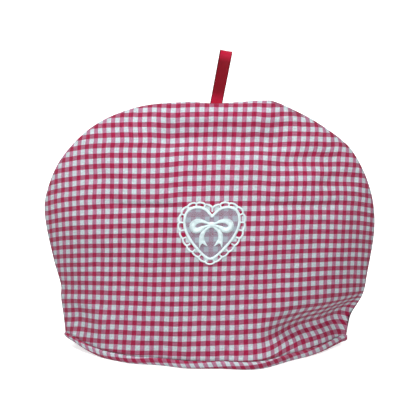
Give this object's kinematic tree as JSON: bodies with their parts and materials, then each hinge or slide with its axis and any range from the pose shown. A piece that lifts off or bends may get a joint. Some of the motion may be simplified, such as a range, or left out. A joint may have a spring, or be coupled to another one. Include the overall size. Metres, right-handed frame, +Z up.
{
  "type": "tea cosy",
  "caption": "Padded dome tea cosy of checked cotton with a bound hem, a ribbon loop at the top and a lace heart on the front.",
  "frame": {"origin": "the table surface under the middle of the cosy", "axes": "+Z up, the front with the heart faces -Y, +X to the right seen from the front"},
  "size_m": [0.3308, 0.1178, 0.3117],
  "materials": {
    "check_cotton": "matt woven cotton in a red and white check",
    "binding_cotton": "matt woven cotton cut on the slant",
    "red_satin": "satin ribbon",
    "white_net": "fine sheer net",
    "white_thread": "satin-stitched thread"
  },
  "bodies": {
    "root": {"front_panel": "check_cotton", "back_panel": "check_cotton", "hem_binding": "binding_cotton", "ribbon_loop": "red_satin", "heart_ground": "white_net", "heart_border": "white_thread", "lace_edging": "white_thread", "bow_motif": "white_thread"}
  },
  "joints": []
}
